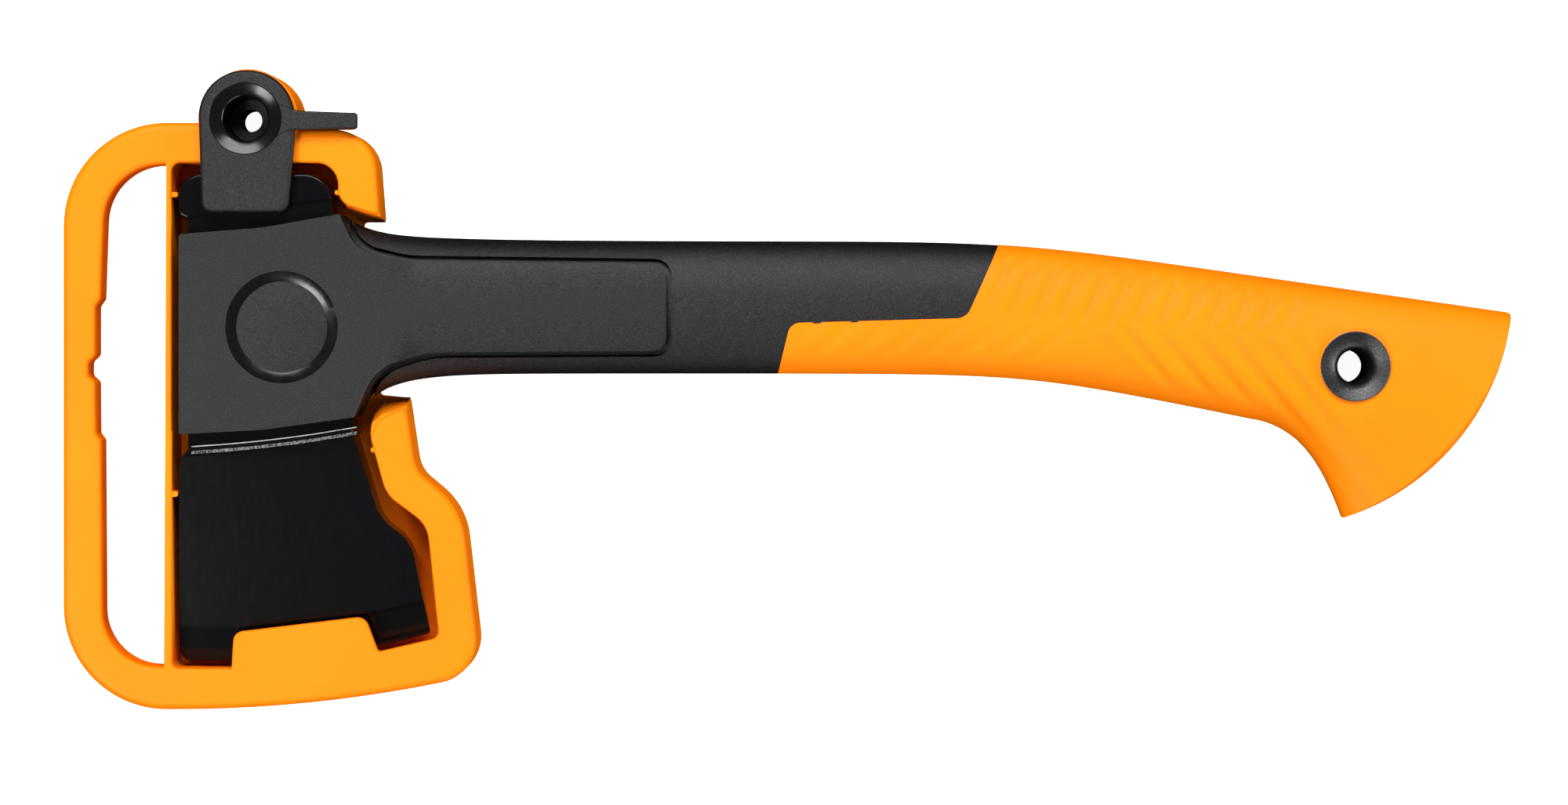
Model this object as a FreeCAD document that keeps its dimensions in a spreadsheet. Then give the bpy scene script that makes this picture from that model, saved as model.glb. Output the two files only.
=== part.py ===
import FreeCAD
import Part
import math
import os

# Hand axe held in a blade guard with carry handle and rotating latch.
# Axe frame: x = 0 at the outer face of the head, +x along the handle to the butt,
# +y from cutting edge to poll, z = 0 at the mid-plane of the axe, +z to the front.
# Each body is placed so that the assembly stands on its back, centred in x and y.

doc = FreeCAD.newDocument("hand_axe")
sheet = doc.addObject("Spreadsheet::Sheet", "Dims")

DRIVING = [
    ("axe_length", 355.0, "head outer face to butt tip"),
    ("head_half", 8.2, "half thickness of the head at the poll"),
    ("waist_half", 7.2, "half thickness of the head under the handle wrap"),
    ("poll_top", 35.6, "height of the poll above the handle axis"),
    ("edge_low", -94.7, "lowest point of the cutting edge"),
    ("edge_sweep", 209.0, "radius of the cutting edge"),
    ("wedge_start", -40.0, "height where the cheek starts to taper"),
    ("wedge_half_end", 1.0, "half thickness the taper aims at"),
    ("bevel_rise", 9.2, "height of the ground bevel"),
    ("edge_half", 0.15, "half thickness of the edge itself"),
    ("wrap_half", 11.5, "half thickness of the handle round the head"),
    ("neck_half", 10.6, "half thickness of the handle beside the plateau"),
    ("handle_half_width", 17.75, "half width of the straight handle"),
    ("tongue_half", 9.6, "half thickness of the core inside the grip"),
    ("hollow_half", 6.4, "half thickness of the hollow in the core"),
    ("grip_half", 13.0, "half thickness of the grip"),
    ("grip_round", 2.4, "rounding of the grip along its long edges"),
    ("hang_x", 312.2, "hanging hole, along the handle"),
    ("hang_y", -15.7, "hanging hole, across the handle"),
    ("hang_bore", 4.3, "radius of the hanging hole"),
    ("hang_flare", 9.3, "radius of the bush flare"),
    ("hang_tube", 6.3, "outer radius of the bush tube"),
    ("guard_front", 8.6, "front face of the guard"),
    ("guard_inner_back", -11.5, "inner face of the back panel"),
    ("panel_thick", 2.5, "thickness of the back panel"),
    ("skin", 3.0, "thickness of the guard's front skin"),
    ("guard_left", -31.3, "left side of the carry handle"),
    ("guard_top", 49.2, "top of the guard left of the latch"),
    ("guard_low", -107.2, "bottom of the guard"),
    ("bar_thick", 12.0, "thickness of the carry-handle bar"),
    ("guard_round", 2.2, "rounding of the guard's front rim"),
    ("latch_x", 17.7, "latch axis, along the handle"),
    ("latch_y", 50.1, "latch axis, across the handle"),
    ("boss_r", 13.3, "radius of the latch boss"),
    ("hub_r", 8.2, "outer radius of the latch hub"),
    ("hub_bore", 5.9, "bore of the latch hub"),
    ("hub_fit", 0.08, "radial clearance of the hub in the boss"),
    ("plate_back", 9.0, "back face of the latch plate"),
    ("plate_thick", 3.6, "thickness of the latch plate"),
    ("plate_r", 12.8, "radius of the round end of the plate"),
    ("dish_r", 10.0, "radius of the dish in the plate"),
    ("dish_deep", 1.9, "depth of the dish at the bore rim"),
    ("screw_r", 3.0, "radius of the screw hole in the retainer"),
    ("screw_floor", -1.4, "floor the screw head rests on"),
    ("latch_gap", 0.3, "clearance between the latch and the guard"),
]


def add_dims(rows):
    for row, (alias, value, note) in enumerate(rows, 1):
        sheet.set("A%d" % row, note)
        sheet.set("B%d" % row, str(value))
        sheet.setAlias("B%d" % row, alias)
    doc.recompute()


add_dims(DRIVING)


def dim(alias):
    return float(getattr(sheet, alias))


# ---- outlines: closed loops of corners, each corner with its own radius ----

def corner_arc(before, corner, after, radius):
    """Tangent points and mid point of the arc that rounds one corner."""
    a = (before - corner).normalize()
    b = (after - corner).normalize()
    half = a.getAngle(b) / 2.0
    reach = radius / math.tan(half)
    middle = (a + b).normalize()
    centre = corner + middle * (radius / math.sin(half))
    return corner + a * reach, centre - middle * radius, corner + b * reach


def loop(corners):
    """Lines and tangent arcs for a closed run of (x, y, radius) corners."""
    points = [FreeCAD.Vector(c[0], c[1], 0) for c in corners]
    count = len(points)
    stops = []
    for i, point in enumerate(points):
        radius = corners[i][2]
        if radius > 0:
            stops.append(corner_arc(points[i - 1], point, points[(i + 1) % count], radius))
        else:
            stops.append((point, None, point))
    shapes = []
    for i in range(count):
        start, middle, end = stops[i]
        if middle is not None:
            shapes.append(Part.Arc(start, middle, end))
        following = stops[(i + 1) % count][0]
        if (following - end).Length > 1e-4:
            shapes.append(Part.LineSegment(end, following))
    return shapes


def ring(x, y, radius):
    return [Part.Circle(FreeCAD.Vector(x, y, 0), FreeCAD.Vector(0, 0, 1), radius)]


# ---- features ----

def new_body(label):
    body = doc.addObject("PartDesign::Body", label)
    body.Label = label
    return body


def base_plane(body, role):
    for feature in body.Origin.OriginFeatures:
        if feature.Role == role:
            return feature
    raise RuntimeError("no plane " + role)


def sketch(body, name, loops, offset, role="XY_Plane"):
    drawn = body.newObject("Sketcher::SketchObject", name)
    drawn.AttachmentSupport = [(base_plane(body, role), "")]
    drawn.MapMode = "FlatFace"
    drawn.setExpression("AttachmentOffset.Base.z", offset)
    for shapes in loops:
        for shape in shapes:
            drawn.addGeometry(shape, False)
    return drawn


def check(body, feature):
    doc.recompute()
    broken = [s for s in feature.State if s in ("Invalid", "Error")]
    if broken or not feature.Shape.isValid():
        raise RuntimeError("%s / %s failed: %s" % (body.Label, feature.Name, feature.State))


def pad(body, name, loops, bottom, height, role="XY_Plane"):
    """Add material from the plane at `bottom` upwards."""
    feature = body.newObject("PartDesign::Pad", name)
    feature.Profile = sketch(body, name + "_outline", loops, bottom, role)
    feature.setExpression("Length", height)
    body.Tip = feature
    check(body, feature)
    return feature


def pocket(body, name, loops, top, depth, role="XY_Plane"):
    """Remove material from the plane at `top` downwards."""
    before = body.Shape.Volume
    feature = body.newObject("PartDesign::Pocket", name)
    feature.Profile = sketch(body, name + "_outline", loops, top, role)
    feature.setExpression("Length", depth)
    body.Tip = feature
    check(body, feature)
    if body.Shape.Volume > before - 0.5:
        raise RuntimeError("%s / %s removed nothing" % (body.Label, name))
    return feature


def turned(body, kind, name, section, axis_x, axis_y):
    """Revolve a section of (radius, z) corners about a line parallel to z."""
    drawn = body.newObject("Sketcher::SketchObject", name + "_section")
    drawn.AttachmentSupport = [(base_plane(body, "YZ_Plane"), "")]
    drawn.MapMode = "FlatFace"
    drawn.setExpression("AttachmentOffset.Base.z", axis_x)
    drawn.setExpression("AttachmentOffset.Base.x", axis_y)
    low = FreeCAD.Vector(0, -40, 0)
    high = FreeCAD.Vector(0, 40, 0)
    drawn.addGeometry(Part.LineSegment(low, high), True)
    for corners in section:
        for shape in loop(corners):
            drawn.addGeometry(shape, False)
    feature = body.newObject(kind, name)
    feature.Profile = drawn
    feature.ReferenceAxis = (drawn, ["Axis0"])
    feature.Angle = 360.0
    body.Tip = feature
    check(body, feature)
    return feature


def cut_between(body, name, high_loop, low_loop, high, low):
    """Remove what lies between an outline at `high` and another at `low`."""
    top = sketch(body, name + "_high", [high_loop], high)
    bottom = sketch(body, name + "_low", [low_loop], low)
    feature = body.newObject("PartDesign::SubtractiveLoft", name)
    feature.Profile = top
    feature.Sections = [bottom]
    feature.Ruled = True
    body.Tip = feature
    check(body, feature)
    return feature


def edges_where(body, test):
    names = []
    for number, edge in enumerate(body.Tip.Shape.Edges, 1):
        points = edge.discretize(7)
        if all(test(p) for p in points):
            names.append("Edge%d" % number)
    return names


def fillet(body, name, test, radius):
    names = edges_where(body, test)
    if not names:
        raise RuntimeError("%s / %s found no edges" % (body.Label, name))
    base = body.Tip
    feature = body.newObject("PartDesign::Fillet", name)
    feature.Base = (base, names)
    feature.setExpression("Radius", radius)
    body.Tip = feature
    check(body, feature)
    return feature


def follows(shapes, height, keep=lambda p: True):
    """Test for points that lie on an outline at one height."""
    wires = [s.toShape() for s in shapes]

    def test(p):
        flat = Part.Vertex(FreeCAD.Vector(p.x, p.y, 0))
        near = abs(p.z - height) < 0.01 and keep(p)
        return near and min(w.distToShape(flat)[0] for w in wires) < 0.02
    return test


def level(value, slack=0.01):
    return lambda p: abs(p.z - value) < slack


# ---- axe head ----

POLL_LEFT = -0.6
POLL_RIGHT = 40.3
WAIST_LEFT = 2.0
WAIST_RIGHT = 34.0


def head_outline():
    top = dim("poll_top")
    low = dim("edge_low")
    return loop([
        (POLL_LEFT, top, 6.5),
        (POLL_LEFT, 24.6, 2.0),
        (WAIST_LEFT, 23.4, 0.8),
        (WAIST_LEFT, -38.0, 0.5),
        (-0.3, -40.6, 0.5),
        (-1.2, low, 3.2),
        (38.3, low, dim("edge_sweep")),
        (66.0, low + 7.45, 1.0),
        (61.1, -62.1, 12.5),
        (53.0, -56.6, 12.5),
        (46.2, -34.2, 3.0),
        (45.0, -26.0, 6.0),
        (WAIST_RIGHT, -14.0, 6.0),
        (WAIST_RIGHT, 10.0, 3.0),
        (POLL_RIGHT - 0.6, 18.0, 0),
        (POLL_RIGHT, 24.0, 0),
        (POLL_RIGHT, top, 7.5),
    ])


def build_head():
    body = new_body("axe_head")
    pad(body, "blank", [head_outline()], "-Dims.head_half", "2 * Dims.head_half")
    fillet(body, "poll_rim",
           lambda p: abs(abs(p.z) - dim("head_half")) < 0.01 and p.y > 23.3, "0.8 mm")
    waist = loop([(-5, 23.2, 0), (-5, -37.5, 0), (25, -35.4, 300), (52, -30.9, 0), (52, 30.6, 0)])
    line = loop([(-5, -39.6, 0), (-5, -40.2, 0), (25, -38.0, 300), (52, -33.5, 0), (52, -32.9, 0),
                 (25, -37.4, 300)])
    pocket(body, "front_waist", [waist], "Dims.head_half", "Dims.head_half - Dims.waist_half")
    pocket(body, "back_waist", [waist], "-Dims.waist_half", "Dims.head_half - Dims.waist_half")
    pocket(body, "front_line", [line], "Dims.head_half", "0.45 mm")
    pocket(body, "back_line", [line], "-Dims.head_half + 0.45", "0.45 mm")
    start = dim("wedge_start")
    thick = dim("head_half")
    thin = dim("wedge_half_end")
    deep = dim("edge_low") - 2.5
    upper = loop([(start, thick, 0), (deep, thin, 0), (deep, thick + 1, 0), (start, thick + 1, 0)])
    lower = loop([(start, -thick, 0), (start, -thick - 1, 0), (deep, -thick - 1, 0), (deep, -thin, 0)])
    pocket(body, "taper", [upper, lower], "70 mm", "80 mm", "YZ_Plane")
    edge = dim("edge_half")
    rise = dim("bevel_rise")
    sweep = dim("edge_sweep")
    along = (thick - thin) / (start - deep)
    root_half = thin + along * (dim("edge_low") + rise - deep)
    inner = -(sweep - rise)
    outer = -(sweep + 4.0)
    front = [(inner, root_half, 0), (-sweep, edge, 0), (outer, edge, 0), (outer, 6, 0), (inner, 6, 0)]
    back = [(x, -z, 0) for x, z, r in front]
    turned(body, "PartDesign::Groove", "ground_bevel", [front, back],
           "10.3", "Dims.edge_low + Dims.edge_sweep")
    return body


# ---- handle core ----

GRIP_LINE = [
    (218.2, 17.2, 0),
    (209.1, -3.0, 3.5),
    (162.3, -4.3, 3.0),
    (159.0, -17.8, 0),
]


WRAP_TOP = ((22.0, 21.1), (43.2, 24.9))
WRAP_LOW = ((22.0, -32.6), (47.4, -29.2))


def on_line(line, x, radius):
    """Corner on a line of the wrap, so that the plateau edge follows it exactly."""
    (x0, y0), (x1, y1) = line
    return x, y0 + (y1 - y0) * (x - x0) / (x1 - x0), radius


def core_outline():
    wide = dim("handle_half_width")
    return loop([
        (0.0, 19.4, 0.6),
        (22.0, 21.1, 90.0),
        (43.2, 24.9, 1.4),
        (50.2, 20.0, 11.0),
        (78.0, wide, 90.0),
        (204.0, wide, 200.0),
    ] + GRIP_LINE[:3] + [
        (159.0, -wide, 0),
        (68.0, -wide, 30.0),
        (53.5, -22.2, 9.0),
        (47.4, -29.2, 1.2),
        (22.0, -32.6, 90.0),
        (0.0, -33.7, 0.6),
    ])


def plateau_outline():
    return loop([
        (0.0, 19.4, 0.6),
        (22.0, 21.1, 90.0),
        on_line(WRAP_TOP, 41.6, 0.6),
        (47.2, 15.0, 10.0),
        (62.0, 12.2, 30.0),
        (129.6, 11.3, 4.0),
        (129.6, -11.7, 4.0),
        (66.0, -11.9, 30.0),
        (51.8, -16.4, 12.0),
        on_line(WRAP_LOW, 46.0, 0.6),
        (22.0, -32.6, 90.0),
        (0.0, -33.7, 0.6),
    ])


def tongue_outline():
    return loop([
        (150.0, 14.0, 0),
        (224.0, 14.0, 200.0),
        (299.0, 3.4, 5.0),
        (299.0, -26.5, 8.0),
        (229.0, -14.0, 300.0),
        (150.0, -14.0, 0),
    ])


def hollow_outline():
    return loop([
        (62.0, 11.0, 5.0),
        (224.0, 11.0, 200.0),
        (294.0, 0.8, 5.0),
        (294.0, -21.0, 6.0),
        (229.0, -11.0, 300.0),
        (62.0, -11.0, 5.0),
    ])


def seat_in_core():
    """The stretch of the head that sits inside the handle, as one outline."""
    return loop([
        (WAIST_LEFT, 26.0, 0),
        (WAIST_LEFT, -38.0, 0),
        (-2.0, -40.3, 0),
        (-2.0, -50.0, 0),
        (60.0, -50.0, 0),
        (46.2, -34.2, 3.0),
        (45.0, -26.0, 6.0),
        (WAIST_RIGHT, -14.0, 6.0),
        (WAIST_RIGHT, 10.0, 3.0),
        (POLL_RIGHT - 0.6, 18.0, 0),
        (POLL_RIGHT, 24.0, 0),
        (POLL_RIGHT, 27.0, 0),
    ])


BADGE_X = 27.3
BADGE_Y = -5.3
BADGE_R = 15.0


def build_core():
    body = new_body("handle_core")
    pad(body, "beam", [core_outline()], "-Dims.neck_half", "2 * Dims.neck_half")
    fillet(body, "beam_round",
           lambda p: abs(abs(p.z) - dim("neck_half")) < 0.01
           and abs(p.y) > 17.3 and 52.0 < p.x < 205.0, "7.5 mm")
    pad(body, "tongue", [tongue_outline()], "-Dims.tongue_half", "2 * Dims.tongue_half")
    pad(body, "plateau", [plateau_outline()], "-Dims.wrap_half", "2 * Dims.wrap_half")
    pocket(body, "head_seat", [seat_in_core()], "Dims.waist_half", "2 * Dims.waist_half")
    fillet(body, "plateau_round",
           lambda p: abs(abs(p.z) - dim("wrap_half")) < 0.01, "0.8 mm")
    pocket(body, "hollow", [hollow_outline()], "Dims.hollow_half", "2 * Dims.hollow_half")
    for side, top in (("front", "Dims.wrap_half"), ("back", "-Dims.wrap_half + 0.7")):
        pocket(body, side + "_badge", [ring(BADGE_X, BADGE_Y, BADGE_R), ring(BADGE_X, BADGE_Y, 12.0)],
               top, "0.7 mm")
    return body


# ---- soft grip ----

def grip_outline():
    wide = dim("handle_half_width")
    tip = dim("axe_length")
    return loop([
        GRIP_LINE[0],
        (232.0, 16.0, 200.0),
        (tip + 0.25, -1.0, 2.8),
        (tip - 3.15, -39.1, 60.0),
        (311.2, -57.0, 2.6),
        (298.7, -32.3, 16.0),
        (227.5, -wide, 360.0),
        (159.0, -wide, 0),
    ] + GRIP_LINE[2:0:-1])


def bush_levels():
    """Radius of the bush's flare, radius of its tube, height of its face and where the flare starts."""
    face = dim("grip_half") + 0.4
    return dim("hang_flare"), dim("hang_tube"), face, face - 4.4


def build_grip():
    body = new_body("soft_grip")
    pad(body, "sleeve", [grip_outline()], "-Dims.grip_half", "2 * Dims.grip_half")
    fillet(body, "long_round",
           lambda p: abs(abs(p.z) - dim("grip_half")) < 0.01
           and (p.y < -17.6 or p.x > 216.3), "Dims.grip_round")
    pocket(body, "tongue_seat", [tongue_outline()], "Dims.tongue_half", "2 * Dims.tongue_half")
    flare, tube, face, root = bush_levels()
    turned(body, "PartDesign::Groove", "bush_seat",
           [[(0, -face - 1, 0), (flare + 0.6, -face - 1, 0), (flare, -face, 0), (tube, -root, 0),
             (tube, root, 0), (flare, face, 0), (flare + 0.6, face + 1, 0), (0, face + 1, 0)]],
           "Dims.hang_x", "Dims.hang_y")
    return body


def build_bush():
    body = new_body("hang_hole_bush")
    flare, tube, face, root = bush_levels()
    bore = dim("hang_bore")
    throat = face - 5.0
    turned(body, "PartDesign::Revolution", "bush",
           [[(flare - 0.6, -face, 0), (flare, -face, 0), (tube, -root, 0), (tube, root, 0),
             (flare, face, 0), (flare - 0.6, face, 0), (bore, throat, 0), (bore, -throat, 0)]],
           "Dims.hang_x", "Dims.hang_y")
    return body


# ---- blade guard ----

def guard_outline():
    left = dim("guard_left")
    top = dim("guard_top")
    low = dim("guard_low")
    return loop([
        (left, top, 27.5),
        (left, low, 27.5),
        (34.3, low, 352.0),
        (79.9, low + 9.25, 11.5),
        (74.8, -53.6, 20.0),
        (62.6, -43.5, 9.0),
        (59.7, -24.4, 1.2),
        (53.0, 23.1, 0.8),
        (51.2, 47.3, 11.0),
        (30.0, 47.3, 0),
        (28.0, top, 0),
    ])


BOSS_SHIFT = 0.4
POCKET_LEFT = -2.3
POCKET_TOP = 38.5
POCKET_LOW = -96.2


def front_opening():
    """Opening in the front skin; the tab over the cutting edge stays."""
    return loop([
        (POCKET_LEFT, POCKET_TOP, 2.5),
        (POCKET_LEFT, POCKET_LOW, 2.0),
        (13.6, POCKET_LOW, 0),
        (14.2, -86.6, 2.6),
        (49.0, -82.4, 3.2),
        (52.6, -91.8, 1.0),
        (68.9, -88.0, 2.4),
        (68.1, -81.0, 40.0),
        (65.7, -58.0, 9.0),
        (54.8, -50.0, 10.0),
        (50.4, -34.0, 3.6),
        (53.6, -29.6, 4.0),
        (64.0, -25.0, 0),
        (90.0, -25.0, 0),
        (90.0, 13.0, 0),
        (42.0, 27.8, 4.7),
        (42.0, POCKET_TOP, 6.0),
    ])


def deep_opening():
    """Room for the head behind the front skin, open towards the neck."""
    return loop([
        (POCKET_LEFT, POCKET_TOP, 2.5),
        (POCKET_LEFT, POCKET_LOW, 2.0),
        (36.0, POCKET_LOW - 0.4, 200.0),
        (68.9, -88.6, 2.4),
        (68.1, -81.0, 40.0),
        (65.7, -58.0, 9.0),
        (54.8, -50.0, 10.0),
        (50.4, -34.0, 3.6),
        (51.0, -28.5, 2.0),
        (53.6, -24.0, 0.8),
        (90.0, -24.0, 0),
        (90.0, 23.1, 0),
        (47.4, 23.1, 0.6),
        (44.2, 26.6, 1.0),
        (42.2, 30.0, 3.0),
        (42.0, POCKET_TOP, 5.0),
    ])


def hook_slant(edge):
    """Mouth above the neck; its top edge is nearer the poll on the front face."""
    if edge == "front":
        return loop([(40.0, 28.4, 0), (40.0, 0.0, 0), (90.0, 0.0, 0), (90.0, 13.0, 0)])
    return loop([(40.0, 23.1, 0), (40.0, 0.0, 0), (90.0, 0.0, 0), (90.0, 23.1, 0)])


def arm_slant(edge):
    """Mouth below the neck, in the same way."""
    if edge == "front":
        return loop([(49.5, 0.0, 0), (49.5, -33.0, 0), (53.6, -29.4, 0), (64.0, -24.9, 0), (64.0, 0.0, 0)])
    return loop([(49.5, 0.0, 0), (49.5, -26.5, 0), (53.4, -24.0, 0), (64.0, -24.4, 0), (64.0, 0.0, 0)])


def carry_opening():
    """Finger opening of the carry handle, with its step and thumb notch."""
    return loop([
        (-3.7, 38.0, 0),
        (-20.2, 38.0, 15.5),
        (-21.4, 2.2, 1.0),
        (-22.8, 0.2, 1.0),
        (-22.8, -12.9, 1.6),
        (-24.7, -14.6, 1.6),
        (-24.7, -18.2, 1.6),
        (-22.8, -19.9, 1.6),
        (-22.7, -33.6, 1.0),
        (-21.4, -35.4, 1.0),
        (-21.0, -95.7, 15.0),
        (-4.3, -95.7, 0),
    ])


def build_guard():
    body = new_body("guard_body")
    pad(body, "block", [guard_outline()], "Dims.guard_inner_back",
        "Dims.guard_front - Dims.guard_inner_back")
    fillet(body, "front_round", level(dim("guard_front")), "Dims.guard_round")
    pad(body, "boss", [ring(dim("latch_x") + BOSS_SHIFT, dim("latch_y"), dim("boss_r"))],
        "Dims.guard_inner_back", "Dims.guard_front - Dims.guard_inner_back")
    pocket(body, "room", [deep_opening()], "Dims.guard_front - Dims.skin",
           "Dims.guard_front - Dims.skin - Dims.guard_inner_back")
    pocket(body, "window", [front_opening()], "Dims.guard_front", "Dims.skin")
    fillet(body, "window_round",
           follows(front_opening(), dim("guard_front"), lambda p: p.x > 5.0), "0.8 mm")
    cut_between(body, "hook_mouth", hook_slant("front"), hook_slant("back"),
                "Dims.guard_front", "Dims.guard_inner_back")
    cut_between(body, "arm_mouth", arm_slant("front"), arm_slant("back"),
                "Dims.guard_front", "Dims.guard_inner_back")
    pocket(body, "finger_opening", [carry_opening()], "Dims.guard_front",
           "Dims.guard_front - Dims.guard_inner_back")
    fillet(body, "bar_inner_round",
           follows(carry_opening(), dim("guard_front"), lambda p: p.x < -3.0 and not
                   (p.x > -4.5 and abs(p.y + 28.6) < 66.5)), "1.4 mm")
    back_of_bar = loop([(-50, 60, 0), (-50, -120, 0), (-3.7, -120, 0), (-3.7, 60, 0)])
    pocket(body, "bar_back", [back_of_bar], "Dims.guard_front - Dims.bar_thick",
           "Dims.guard_front - Dims.bar_thick - Dims.guard_inner_back")
    bar_back = dim("guard_front") - dim("bar_thick")
    ribs = [
        loop([(-2.6, 30.7, 0), (-2.6, 29.3, 0), (-0.8, 29.4, 0.4), (-0.8, 30.6, 0.4)]),
        loop([(-2.6, -49.0, 0), (-2.6, -50.5, 0), (-0.8, -50.4, 0.4), (-0.8, -49.1, 0.4)]),
        loop([(42.6, 31.2, 0), (41.1, 31.1, 0.4), (41.1, 30.0, 0.4), (42.6, 29.9, 0)]),
        loop([(53.2, -37.3, 0), (50.7, -37.4, 0.4), (50.7, -38.6, 0.4), (53.2, -38.7, 0)]),
    ]
    pad(body, "ribs", ribs, "Dims.guard_inner_back",
        "Dims.guard_front - Dims.guard_inner_back - 0.8")
    hub_hole = dim("hub_r") + dim("hub_fit")
    pocket(body, "hub_hole", [ring(dim("latch_x"), dim("latch_y"), hub_hole)],
           "Dims.guard_front", "Dims.guard_front - Dims.guard_inner_back")
    pocket(body, "washer_seat", [ring(dim("latch_x"), dim("latch_y"), 11.5)],
           "Dims.guard_front", "1")
    return body


def build_back_panel():
    body = new_body("guard_back_panel")
    top = dim("guard_top")
    low = dim("guard_low")
    outline = loop([
        (-3.7, top, 1.5),
        (-3.7, low, 1.5),
        (34.3, low, 352.0),
        (79.9, low + 9.25, 11.5),
        (74.8, -53.6, 20.0),
        (62.6, -43.5, 9.0),
        (59.7, -24.4, 1.2),
        (51.6, -23.6, 1.0),
        (47.0, 23.1, 1.0),
        (53.0, 23.1, 0.8),
        (51.2, 47.3, 11.0),
        (30.0, 47.3, 0),
        (28.0, top, 0),
    ])
    pad(body, "panel", [outline], "Dims.guard_inner_back - Dims.panel_thick", "Dims.panel_thick")
    pad(body, "boss_back", [ring(dim("latch_x") + BOSS_SHIFT, dim("latch_y"), dim("boss_r"))],
        "Dims.guard_inner_back - Dims.panel_thick", "Dims.panel_thick")
    pocket(body, "retainer_room", [ring(dim("latch_x"), dim("latch_y"), 10.4)],
           "Dims.guard_inner_back", "Dims.panel_thick")
    fillet(body, "back_round", level(dim("guard_inner_back") - dim("panel_thick")), "0.8 mm")
    return body


# ---- latch ----

def plate_outline():
    x = dim("latch_x")
    y = dim("latch_y")
    r = dim("plate_r")
    return loop([
        (x - r, y + r, 0.96 * r),
        (x - r + 1.2, 25.2, 2.9),
        (x + r - 1.5, 25.2, 2.9),
        (x + r + 0.2, 44.0, 20.0),
        (x + r, y + r, 0.96 * r),
    ])


def lever_outline():
    return loop([
        (24.0, 55.4, 0),
        (24.0, 45.0, 0),
        (33.5, 47.7, 6.0),
        (47.2, 47.7, 1.0),
        (47.2, 51.3, 1.0),
        (33.5, 51.6, 6.0),
    ])


def paddle_outline():
    return loop([
        (31.6, 51.5, 1.0),
        (31.6, 47.7, 1.0),
        (45.9, 47.7, 1.2),
        (45.9, 51.3, 1.2),
    ])


def build_latch():
    body = new_body("latch")
    x = dim("latch_x")
    y = dim("latch_y")
    pad(body, "plate", [plate_outline()], "Dims.plate_back", "Dims.plate_thick")
    fillet(body, "plate_round", level(dim("plate_back") + dim("plate_thick")), "0.9 mm")
    pad(body, "lever", [lever_outline()], "Dims.plate_back", "Dims.plate_thick - 0.3")
    pad(body, "paddle", [paddle_outline()], "-7", "Dims.plate_back + 9")
    pad(body, "hub", [ring(x, y, dim("hub_r"))], "Dims.guard_inner_back - 0.1 + Dims.latch_gap",
        "Dims.plate_back - Dims.guard_inner_back - Dims.latch_gap + 0.6")
    top = dim("plate_back") + dim("plate_thick")
    bore = dim("hub_bore")
    dish = dim("dish_r")
    deep = dim("dish_deep")
    turned(body, "PartDesign::Groove", "bore_and_dish",
           [[(0, -20, 0), (bore, -20, 0), (bore, top - deep, 0), (bore + 1.8, top - deep, 2.5),
             (dish, top, 0), (dish, top + 2, 0), (0, top + 2, 0)]],
           "Dims.latch_x", "Dims.latch_y")
    return body


def build_washer():
    body = new_body("latch_washer")
    x = dim("latch_x")
    y = dim("latch_y")
    pad(body, "washer", [ring(x, y, 11.5), ring(x, y, dim("hub_r") + 0.4)],
        "Dims.guard_front - 1", "Dims.plate_back - Dims.latch_gap - Dims.guard_front + 1")
    return body


def build_retainer():
    body = new_body("latch_retainer")
    back = dim("guard_inner_back")
    bottom = back - dim("panel_thick") + 0.3
    flange = back - dim("latch_gap")
    plug = dim("hub_bore")
    floor = dim("screw_floor")
    hole = dim("screw_r")
    turned(body, "PartDesign::Revolution", "cap",
           [[(hole, bottom, 0), (10.0, bottom, 0.5), (10.0, flange, 0.5), (plug, flange, 0),
             (plug, floor, 0.4), (hole, floor, 0)]],
           "Dims.latch_x", "Dims.latch_y")
    return body


def place(body):
    body.setExpression("Placement.Base.x", "-(Dims.guard_left + Dims.axe_length) / 2")
    body.setExpression("Placement.Base.y",
                       "-(Dims.guard_low + Dims.latch_y + Dims.boss_r) / 2")
    body.setExpression("Placement.Base.z", "Dims.panel_thick - Dims.guard_inner_back")


BUILDERS = [
    build_head, build_core, build_grip, build_bush, build_guard, build_back_panel,
    build_latch, build_washer, build_retainer,
]

os.makedirs("parts", exist_ok=True)
bodies = [builder() for builder in BUILDERS]
for body in bodies:
    place(body)
doc.recompute()
for body in bodies:
    shape = body.Shape
    if not shape.isValid() or len(shape.Solids) != 1:
        raise RuntimeError("%s is not one valid solid" % body.Label)
    box = shape.BoundBox
    print("%-18s %9.0f mm3  x %.2f..%.2f y %.2f..%.2f z %.2f..%.2f" % (
        body.Label, shape.Volume, box.XMin, box.XMax, box.YMin, box.YMax, box.ZMin, box.ZMax))
    shape.exportStep("parts/%s.step" % body.Label)
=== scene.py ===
# %% [markdown]
# # A hand axe in its blade guard
# The guard's mouldings come straight from the design model, so every curve lies where the tool maker
# put it. The handle, the grip, the bush and the latch blend softly from one shape into the next, so
# they are modelled here with mesh operators, and the head gets the broken edges of real steel. Then a
# small studio is set up: a lit floor and backdrop, four soft lamps and a camera straight above.

# %% Load the fixed frame
import math

import bmesh
import bpy
from mathutils import Matrix, Vector


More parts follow.
